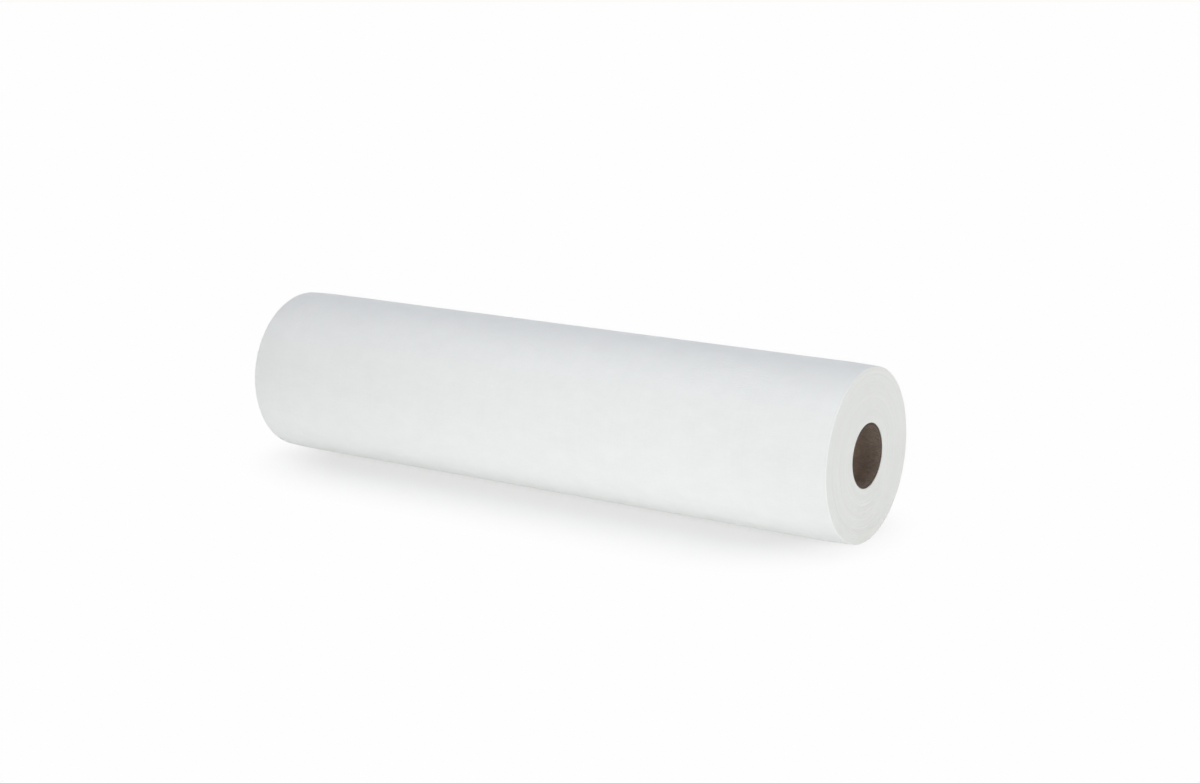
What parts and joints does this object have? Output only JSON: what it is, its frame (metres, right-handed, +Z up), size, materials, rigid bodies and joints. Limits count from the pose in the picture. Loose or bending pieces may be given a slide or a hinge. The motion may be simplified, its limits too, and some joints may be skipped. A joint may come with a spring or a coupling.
{
  "type": "exam table paper roll",
  "caption": "Wide roll of plain white crepe paper for covering an exam table, wound tight on an open paperboard core and lying on its side.",
  "frame": {"origin": "on the surface that the roll lies on, below the middle of the roll", "axes": "+X along the roll's axis towards the end that faces the camera in the picture, +Y to the back, where the sheet's loose end is, +Z up"},
  "size_m": [0.4572, 0.1139, 0.1133],
  "materials": {
    "paper": "matt white crepe paper",
    "core_board": "dark grey-brown wound board, uncoated"
  },
  "bodies": {
    "root": {"paper_roll": "paper", "core": "core_board"}
  },
  "joints": []
}
